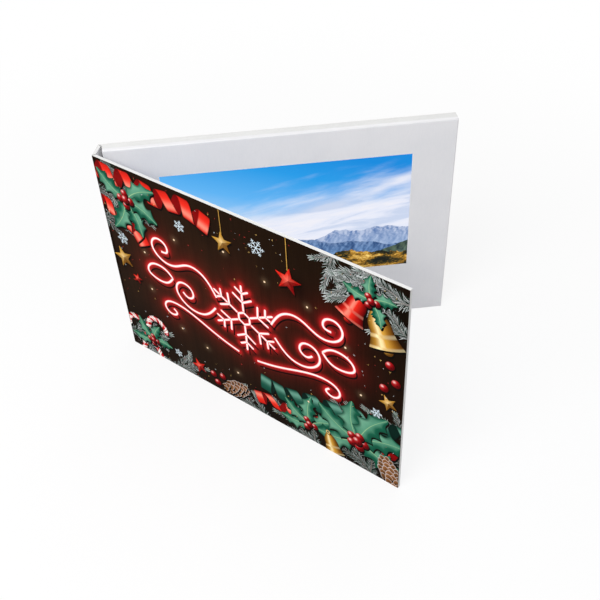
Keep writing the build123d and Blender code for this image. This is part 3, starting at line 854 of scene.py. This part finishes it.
def print_ground():
    """Dark ground over the whole face of the cover, with a glow near the tubes."""
    points = [point for tube in tubes for point in even(tube)]
    tree = kdtree.KDTree(len(points))
    for index, (u, v) in enumerate(points):
        tree.insert((u, v, 0), index)
    tree.balance()
    left, bottom, right, top = cover_window
    rows, columns = 160, 230
    drawing = Drawing(cover, print_gap)
    drawing.net(spread(bottom, top, rows), spread(left, right, columns),
                lambda v, u: ((u, v), ground_tint(u, v, tree)))
    drawing.piece("print_ground", "front_cover", ground_inks, "printed_paper")


def add_print(drawing, name):
    drawing.piece(name, "front_cover", motif_inks, "printed_paper", cover_window)


def print_neon():
    """Tubes of the neon sign over their printed drop shadows: dark copies moved to the lower right."""
    shade = Drawing(cover)
    for tube in tubes:
        line(shade, [(u + 1.6, v - 3.4) for u, v in even(tube)], 0.5, srgb(12, 7, 7), 3)
    add_print(shade, "print_neon_shadow")
    sign = Drawing(cover, lift=5 * print_gap)
    stops = [(0, srgb(255, 250, 248)), (0.5, srgb(255, 226, 224)), (0.72, srgb(255, 96, 104)),
             (1, srgb(190, 12, 24))]
    step, reach = 0.5, 1.05
    for tube in tubes:
        path = even(tube, step)
        ends = len(path) * step / reach

        def half_width(t):
            near = min(1, min(t, 1 - t) * ends + 0.1)
            return reach * sqrt(max(0.05, 1 - (1 - near) ** 2))
        ribbon(sign, path, half_width, lambda t, side: ramp(stops, abs(side)), 9)
    add_print(sign, "print_neon")


# fir branches of each corner: start, angle, length, size of the needles, share of frost
firs = {
    "upper_left": [
        ((-4, 126), -0.15, 44, 7.5, 0.55), ((8, 152), -0.95, 38, 7.5, 0.5),
        ((-5, 104), 0.25, 30, 7, 0.6)],
    "upper_right": [
        ((216, 140), 3.35, 52, 8, 0.95), ((214, 118), 2.85, 34, 7.5, 0.9),
        ((196, 152), -2.3, 40, 8, 0.95), ((170, 153), -1.9, 26, 7, 0.9)],
    "lower_left": [
        ((-4, 10), 0.35, 44, 7.5, 0.8), ((10, -5), 1, 34, 7.5, 0.8), ((34, -5), 0.5, 36, 7, 0.85)],
    "lower_right": [
        ((216, 22), 2.75, 50, 8, 0.5), ((196, -5), 2.2, 44, 8, 0.5), ((158, -5), 2.5, 40, 7.5, 0.6),
        ((120, -5), 2.7, 34, 7.5, 0.7), ((216, 46), 2.9, 26, 7, 0.6)]}


def print_firs():
    """Fir branches at the corners and along the lower edge."""
    rng = random.Random(11)
    for corner, branches in firs.items():
        drawing = Drawing(cover, levels=30)
        for values in branches:
            branch(drawing, *values, rng)
        add_print(drawing, "print_fir_" + corner)


ornament_lift = 11 * print_gap  # ornaments lie over the branches
ornament_shadow = (0.7, -1.1)  # and their shadow falls to the lower right
cord = (0.22, srgb(196, 150, 70))  # half width and colour of a star's cord
ornaments = {
    "print_holly_upper_left": [
        (curl, [(84, 134), (66, 141), (48, 135), (30, 141), (8, 138), (-8, 144)], 6.5, 8, 7, crimson),
        (curl, [(30, 99), (26, 107), (17, 110), (6, 117), (-8, 118)], 5.5, 6.5, 5, crimson),
        (leaves, (22, 126), (2.5, -2.1, -1.2, 0.5, -0.35), 29, 16), (berries, (22, 126), 4, 2.7)],
    "print_stars_upper": [
        (line, [(96, 150), (96, 131)], *cord), (line, [(140, 150), (140, 127)], *cord),
        (star, (96, 126), 7.5, gold, 0.1), (star, (140, 120), 9, crimson, -0.15)],
    "print_bells": [
        (bell, (197, 116), 24, gold, 0.35), (bell, (182, 123), 20, crimson, -0.4),
        (leaves, (191, 132), (0.2, 2.9, 1.6, -1.2), 17, 10), (berries, (191, 131), 3, 2.1)],
    "print_canes": [
        (candy_cane, (30, -6), 34, 7.5, 0.5, -1), (candy_cane, (8, -4), 36, 7.5, -0.35, 1),
        (leaves, (21, 13), (0.1, 3.2, 1.1, 2.1), 20, 11), (berries, (21, 13), 4, 2.2)],
    "print_stars_left": [
        (star, (9, 78), 8.5, gold, 0.3), (star, (18, 65), 4.2, crimson, -0.2)],
    "print_cone_lower": [
        (pine_cone, (92, 9), 22, 0.5), (berry, (77, 6), 2.6), (berry, (82, 14), 2.6),
        (berry, (74, 12), 2.6), (star, (62, 12), 6.5, crimson, 0.4)],
    "print_holly_lower_right": [
        (curl, [(118, 30), (134, 28), (152, 35), (172, 38), (192, 46), (220, 46)], 6.5, 8, 8, spruce),
        (curl, [(112, 14), (126, 18), (140, 13), (160, 22), (190, 28), (220, 26)], 5, 6, 9, crimson),
        (leaves, (150, 14), (3.3, 0.5, 2.5, 1.5), 25, 14),
        (leaves, (184, 22), (3.4, -0.5, 2.6, 0.4, 1.7, 1), 36, 20),
        (berries, (184, 22), 5, 3.1), (berries, (150, 14), 3, 2.4),
        (pine_cone, (206, 9), 24, 1.9), (bell, (166, 8), 16, gold, 0.3)],
    "print_berries_right": [
        (berry, (203, 94), 2.8), (berry, (207, 83), 2.8), (berry, (200, 76), 2.8),
        (star, (203, 66), 6, gold, 0.5)],
}
lights = [(snowflake, (120, 133), 5.5, 0), (snowflake, (64, 124), 4, 0.3),
          (snowflake, (196, 54), 3.6, 0.1), (snowflake, (12, 94), 4.5, 0.2),
          (snowflake, (44, 14), 3.4, 0.5), *[(pin, place) for place in pins]]


def draw_all(drawing, motifs):
    """Draw motifs, each given as its function and its values."""
    for motif, *values in motifs:
        motif(drawing, *values)
    return drawing


def print_glitter():
    """Tiny gold and white specks, thicker near the edges of the page."""
    rng = random.Random(5)
    drawing = Drawing(cover, 4 * print_gap)
    tones = (srgb(232, 190, 110), srgb(226, 232, 236), srgb(206, 60, 56))
    drawn = 0
    while drawn < 260:
        u, v = rng.uniform(2, cover_width - 2), rng.uniform(2, case_height - 2)
        inward = min(u, cover_width - u, v, case_height - v) / 60
        if rng.random() < exp(-2.6 * inward):
            spark(drawing, (u, v), rng.uniform(0.3, 0.85), rng.choice(tones))
            drawn += 1
    add_print(drawing, "print_glitter")


print_ground()
print_neon()
print_firs()
for name, motifs in ornaments.items():
    add_print(draw_all(Drawing(cover, ornament_lift, drop=ornament_shadow), motifs), name)
add_print(draw_all(Drawing(cover, ornament_lift), lights), "print_lights")
print_glitter()


# ---- the picture on the screen ----
screen_low, screen_high = [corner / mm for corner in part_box("lcd_frame")]


def picture_look():
    """Lit picture: sky with thin clouds, blue ridges, a dark slope and a golden meadow."""
    look = Look("screen_picture", Base_Color=srgb(6, 7, 10), Roughness=0.16, IOR=1.2,
                Emission_Strength=1)
    wide = screen_high.x - screen_low.x
    place = look.node("SeparateXYZ", {0: look.place()})
    x, y = [look.calc("DIVIDE", look.calc("SUBTRACT", place.outputs[axis], start), wide)
            for axis, start in (("X", screen_low.x), ("Z", screen_low.z))]

    def flat(scale_x, scale_y, seed, shift=0, lean=0):
        """Place on the picture, leaned, stretched and moved to its own part of the noise."""
        rise = look.plus(x, -lean, y)
        return look.node("CombineXYZ", {
            "X": look.plus(x, scale_x, shift),
            "Y": look.calc("MULTIPLY", rise, scale_y), "Z": seed}).outputs[0]

    def inside(depth, soft):
        """Share of a shape that starts at a depth of 0, with a soft edge."""
        return look.node("Clamp", {0: look.calc("DIVIDE", depth, soft)}).outputs[0]

    def sky():
        """Deep blue that pales downwards and to the left, under streaks of thin cloud."""
        light_side = look.plus(x, 0.32, y)
        blue = look.ramp(light_side, [
            (0.38, srgb(176, 214, 246)), (0.54, srgb(96, 180, 244)), (0.68, srgb(40, 156, 232)),
            (0.8, srgb(8, 138, 222))])
        streak = look.noise(flat(1.3, 7.5, 2.7, lean=0.24), 1.4, 5, 0.5, 0.25)
        puff = look.noise(flat(4, 15, 6.1, lean=0.17), 1.3, 6, 0.55, 0.2)
        low_sky = look.ramp(look.plus(x, -0.16, y), [
            (0.06, grey(0.68)), (0.2, grey(0.53)), (0.33, grey(0.22)), (0.44, grey(0))])
        wisps = look.calc("ADD", look.average(streak, puff, 0.72), low_sky)
        cloud = look.ramp(wisps, [(0.58, grey(0)), (1, grey(0.96))], "EASE")
        folds = look.noise(flat(2.2, 13, 17.3, lean=0.12), 1.5, 6, 0.6, 0.5)
        vapour = look.ramp(folds, [
            (0.38, srgb(206, 216, 238)), (0.5, srgb(233, 236, 249)), (0.64, srgb(244, 242, 248))])
        return look.mix(cloud, blue, vapour)

    def ridge(below, level, swing, scale, seed, far, near, snow, mist=0.45):
        """A ridge in front of what is behind it, with slopes lit from the left."""
        profile = look.noise(flat(scale, 0, seed), 1, 9, 0.55)
        depth = look.calc("SUBTRACT", look.plus(profile, swing, level), y)
        relief, beside = [look.noise(flat(15, 15, seed + 4, shift, 0.3), 1, 9, 0.6, 0.2)
                          for shift in (0, 0.12)]
        lit = look.plus(look.calc("SUBTRACT", relief, beside), 3.4, 0.5)
        tone = look.ramp(look.plus(depth, 1.5, lit), [(0.2, near), (0.85, far)])
        crest = look.plus(depth, -14, look.calc("MULTIPLY", lit, 1.3))
        caps = look.ramp(crest, [(0.35, grey(0)), (0.6, grey(snow))])
        tone = look.mix(caps, tone, srgb(206, 214, 234))
        haze = look.ramp(depth, [(0.02, grey(0)), (0.14, grey(mist))])
        tone = look.mix(haze, tone, srgb(146, 180, 220))
        return look.mix(inside(depth, 0.002), below, tone)

    def meadow(below):
        """Golden grass in uneven patches, brighter towards its crest."""
        mound = look.noise(flat(6, 0, 21), 1, 8, 0.62)
        depth = look.calc("SUBTRACT", look.plus(mound, 0.13, look.plus(x, -0.03, 0.082)), y)
        patches = look.noise(flat(11, 34, 5), 1, 4, 0.6, 0.4)
        tufts = look.noise(flat(90, 150, 9), 1, 5, 0.8)
        grass = look.ramp(look.average(patches, tufts, 0.62), [
            (0.42, srgb(12, 18, 8)), (0.48, srgb(66, 58, 20)), (0.54, srgb(188, 134, 38)),
            (0.62, srgb(255, 220, 126))])
        near = look.ramp(depth, [(0.03, grey(1)), (0.12, grey(0.4))])
        return look.mix(inside(depth, 0.0015), below, look.mix(1, grass, near, "MULTIPLY"))

    color = ridge(sky(), 0.135, 0.19, 3.1, 3, srgb(172, 190, 222), srgb(96, 126, 178), 0.4)
    left_range = look.plus(x, -0.17, 0.262)
    color = ridge(color, left_range, 0.09, 7, 8, srgb(104, 142, 192), srgb(34, 68, 118), 0.1)
    right_slope = look.plus(x, 0.4, -0.258)
    color = ridge(color, right_slope, 0.07, 5, 12, srgb(92, 112, 92), srgb(30, 48, 50), 0, 0.2)
    look.feed(look.shader.inputs["Emission Color"], meadow(color))
    return look.material


def screen_picture():
    """Lit layer in front of the glass, inside the opening of the steel frame."""
    glass_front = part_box("lcd_glass")[0].y / mm
    border_x, border_z = 5.2, 6.85  # from the frame's outline to the lit layer
    left, right = screen_low.x + border_x, screen_high.x - border_x
    bottom, top = screen_low.z + border_z, screen_high.z - border_z
    drawing = Drawing(Face((0, glass_front - print_gap, 0), (1, 0, 0)), 0)
    corners = [[(left, bottom), (right, bottom)], [(left, top), (right, top)]]
    drawing.plain(corners, grey(0))
    drawing.piece("screen_picture", "case", picture_look(), "black_glass")


screen_picture()


# ---- paper over the creases ----
def fold_strip(name, hinge, first, second, *bodies):
    """Continuous sheet round a crease: flat on the first side, round, flat on the second.

    first and second are the outward directions of the two sides at rest.
    """
    # length of each flat part, distance from the upper and lower edges, rows of the mesh
    reach, edge, rows = 2.2, 0.05, 25
    start = atan2(first.y, first.x)
    sweep = (atan2(second.y, second.x) - start + pi) % (2 * pi) - pi
    turn = 1 if sweep > 0 else -1
    outline = [hinge + (paper + print_gap) * Vector((cos(a), sin(a), 0))
               for a in spread(start, start + sweep, 10)]
    before = Vector((first.y, -first.x, 0)) * turn * reach
    after = Vector((-second.y, second.x, 0)) * turn * reach
    outline = [outline[0] + before, *outline, outline[-1] + after]
    verts = [Vector((point.x, point.y, z)) * mm
             for z in spread(edge, case_height - edge, rows - 1) for point in outline]
    mesh = bpy.data.meshes.new(name)
    mesh.from_pydata(verts, [], quads(rows, len(outline)))
    mesh.materials.append(looks["printed_paper"])
    for polygon in mesh.polygons:
        polygon.use_smooth = True
    if mesh.polygons[0].normal.dot(first) < 0:
        mesh.flip_normals()
    thing = add_object(name, mesh)
    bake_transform(thing)


fold_strip("fold_back", back_crease, back_out, spine_out, "case", "spine")
fold_strip("fold_front", front_crease, spine_out, cover_out, "spine", "front_cover")

# ---- signs on the keys ----
sign_ink = srgb(78, 80, 84)


def triangle(drawing, tip_x, base_x, reach):
    drawing.plain([[(base_x, -reach), (base_x, reach)], [(tip_x, 0), (tip_x, 0)]], sign_ink)


def bar(drawing, left, right, low, high):
    drawing.plain([[(left, low), (right, low)], [(left, high), (right, high)]], sign_ink)


minus = (bar, -1.4, 1.4, -0.2, 0.2)
signs = {
    "previous": [(triangle, -1.1, 0.3, 0.9), (triangle, 0.1, 1.5, 0.9), (bar, -1.5, -1.2, -0.9, 0.9)],
    "play": [(triangle, 0.2, -1.6, 1.1), (bar, 0.5, 0.9, -1, 1), (bar, 1.3, 1.7, -1, 1)],
    "next": [(triangle, 1.1, -0.3, 0.9), (triangle, -0.1, -1.5, 0.9), (bar, 1.2, 1.5, -0.9, 0.9)],
    "volume_down": [minus],
    "volume_up": [minus, (bar, -0.2, 0.2, -1.4, -0.2), (bar, -0.2, 0.2, 0.2, 1.4)],
}
for name, motifs in signs.items():
    low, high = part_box("button_" + name)
    key_middle = (low + high) / 2
    key_face = Face((key_middle.x / mm, low.y / mm, key_middle.z / mm), (1, 0, 0))
    drawing = draw_all(Drawing(key_face, print_gap), motifs)
    drawing.piece("sign_" + name, "button_" + name, motif_inks, "key_black")


# ---- floor, light and camera ----
def shown(nodes):
    """1 for the rays that show the background: those of the camera, of gloss and of glass."""
    rays = nodes.node("LightPath").outputs
    seen = nodes.calc("MAXIMUM", rays["Is Camera Ray"], rays["Is Glossy Ray"])
    return nodes.calc("MAXIMUM", seen, rays["Is Transmission Ray"])


def floor():
    """Pale floor with the soft shadow of the object, white in view further off."""
    below = -0.00005
    bpy.ops.mesh.primitive_plane_add(size=40, location=(0, 0, below))
    plane = bpy.context.object
    plane.name = "floor"
    look = Look("floor", Roughness=0.9)
    look.color(srgb(246, 246, 246))
    white = look.node("Emission", {"Color": grey(1), "Strength": 1}).outputs[0]
    away = look.node("VectorMath", {0: look.place()}, operation="LENGTH").outputs["Value"]
    reach = {"Value": away, "From Min": 120, "From Max": 560, "To Min": 0.84, "To Max": 1}
    share = look.node("MapRange", reach, interpolation_type="SMOOTHSTEP").outputs[0]
    seen = look.calc("MULTIPLY", shown(look), share)
    both = look.node("MixShader", {0: seen, 1: look.shader.outputs[0], 2: white}).outputs[0]
    look.feed(look.tree.nodes["Material Output"].inputs["Surface"], both)
    plane.data.materials.append(look.material)


def surroundings():
    """White world that fills the shadows, seen as white."""
    world = bpy.data.worlds.new("studio")
    world.use_nodes = True
    bpy.context.scene.world = world
    nodes = Nodes(world.node_tree)
    level = nodes.node("MapRange", {"Value": shown(nodes), "To Min": 0.42, "To Max": 1}).outputs[0]
    background = nodes.tree.nodes["Background"].inputs
    nodes.feed(background["Color"], grey(1))
    nodes.feed(background["Strength"], level)


def area_light(name, place, aim, size, power):
    """Soft square lamp that points at a place. Metres and watts."""
    lamp = bpy.data.lights.new(name, "AREA")
    lamp.shape = "SQUARE"
    lamp.size = size
    lamp.energy = power
    thing = add_object(name, lamp)
    thing.location = place
    thing.rotation_euler = (Vector(aim) - Vector(place)).to_track_quat("-Z", "Y").to_euler()


def camera():
    """Camera above and in front of the brochure."""
    lens = bpy.data.cameras.new("camera")
    lens.lens = 50.1
    lens.sensor_width = 36
    place = Vector((-27.42, -434.3, 395.72)) * mm
    rotation = Matrix.Identity(4)
    for degrees, axis in ((-4.34, "Z"), (-41.12, "X"), (2.95, "Y"), (90, "X")):
        rotation = rotation @ Matrix.Rotation(radians(degrees), 4, axis)
    thing = add_object("camera", lens)
    thing.matrix_world = Matrix.Translation(place) @ rotation
    bpy.context.scene.camera = thing


floor()
surroundings()
area_light("key_light", (-0.3, -0.42, 0.66), (-0.02, -0.03, 0.07), 0.4, 3.8)
area_light("side_light", (-1.1, -0.9, 0.6), (-0.05, -0.05, 0.07), 0.9, 2)
area_light("top_light", (0.05, 0.12, 0.85), (0, 0, 0.1), 0.5, 0.4)
area_light("back_light", (0.4, 1, 0.6), (0, 0, 0.07), 0.6, 3.2)
camera()
bpy.context.scene.view_settings.view_transform = "Standard"
